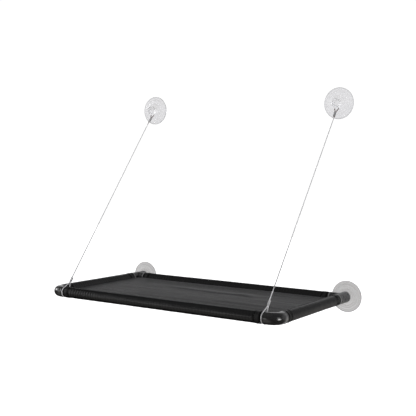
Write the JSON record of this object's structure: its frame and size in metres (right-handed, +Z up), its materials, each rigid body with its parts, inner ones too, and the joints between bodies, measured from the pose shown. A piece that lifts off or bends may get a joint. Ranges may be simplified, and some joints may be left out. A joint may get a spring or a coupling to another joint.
{
  "type": "window mounted cat perch",
  "caption": "Fabric sling on a push-fit tube frame, plugged onto two suction cups at the window and hung from two more by wire ropes.",
  "frame": {"origin": "on the window glass, midway between the two lower suction cups", "axes": "+X along the window, +Y into the glass, +Z up"},
  "size_m": [0.605, 0.3259, 0.475],
  "materials": {
    "tube": "extruded black, slightly satin",
    "elbow": "gloss black moulding",
    "tee": "satin dark grey moulding",
    "seat_cloth": "tight black woven polyester",
    "sleeve_cloth": "black ribbed mesh cloth, two layers",
    "cup": "clear soft vinyl, smooth",
    "wire": "twisted wire rope",
    "ferrule": "crimped, satin"
  },
  "bodies": {
    "window_side": {"left_lower_cup": "cup", "right_lower_cup": "cup", "left_upper_cup": "cup", "right_upper_cup": "cup", "left_upper_ferrule": "ferrule", "right_upper_ferrule": "ferrule", "left_wire": "wire", "right_wire": "wire"},
    "platform": {"front_rail_tube": "tube", "rear_rail_tube": "tube", "left_side_tube": "tube", "right_side_tube": "tube", "left_front_elbow": "elbow", "right_front_elbow": "elbow", "left_rear_tee": "tee", "right_rear_tee": "tee", "seat_panel": "seat_cloth", "front_sleeve": "sleeve_cloth", "rear_sleeve": "sleeve_cloth", "left_sleeve": "sleeve_cloth", "right_sleeve": "sleeve_cloth", "left_lower_ferrule": "ferrule", "right_lower_ferrule": "ferrule"}
  },
  "joints": [
    {"name": "platform_tilt", "type": "hinge", "parent": "window_side", "child": "platform", "pos_m": [0, -0.0165, 0], "axis": [-1, 0, 0], "range_deg": [0, 10], "deforming": ["left_wire", "right_wire"]}
  ]
}
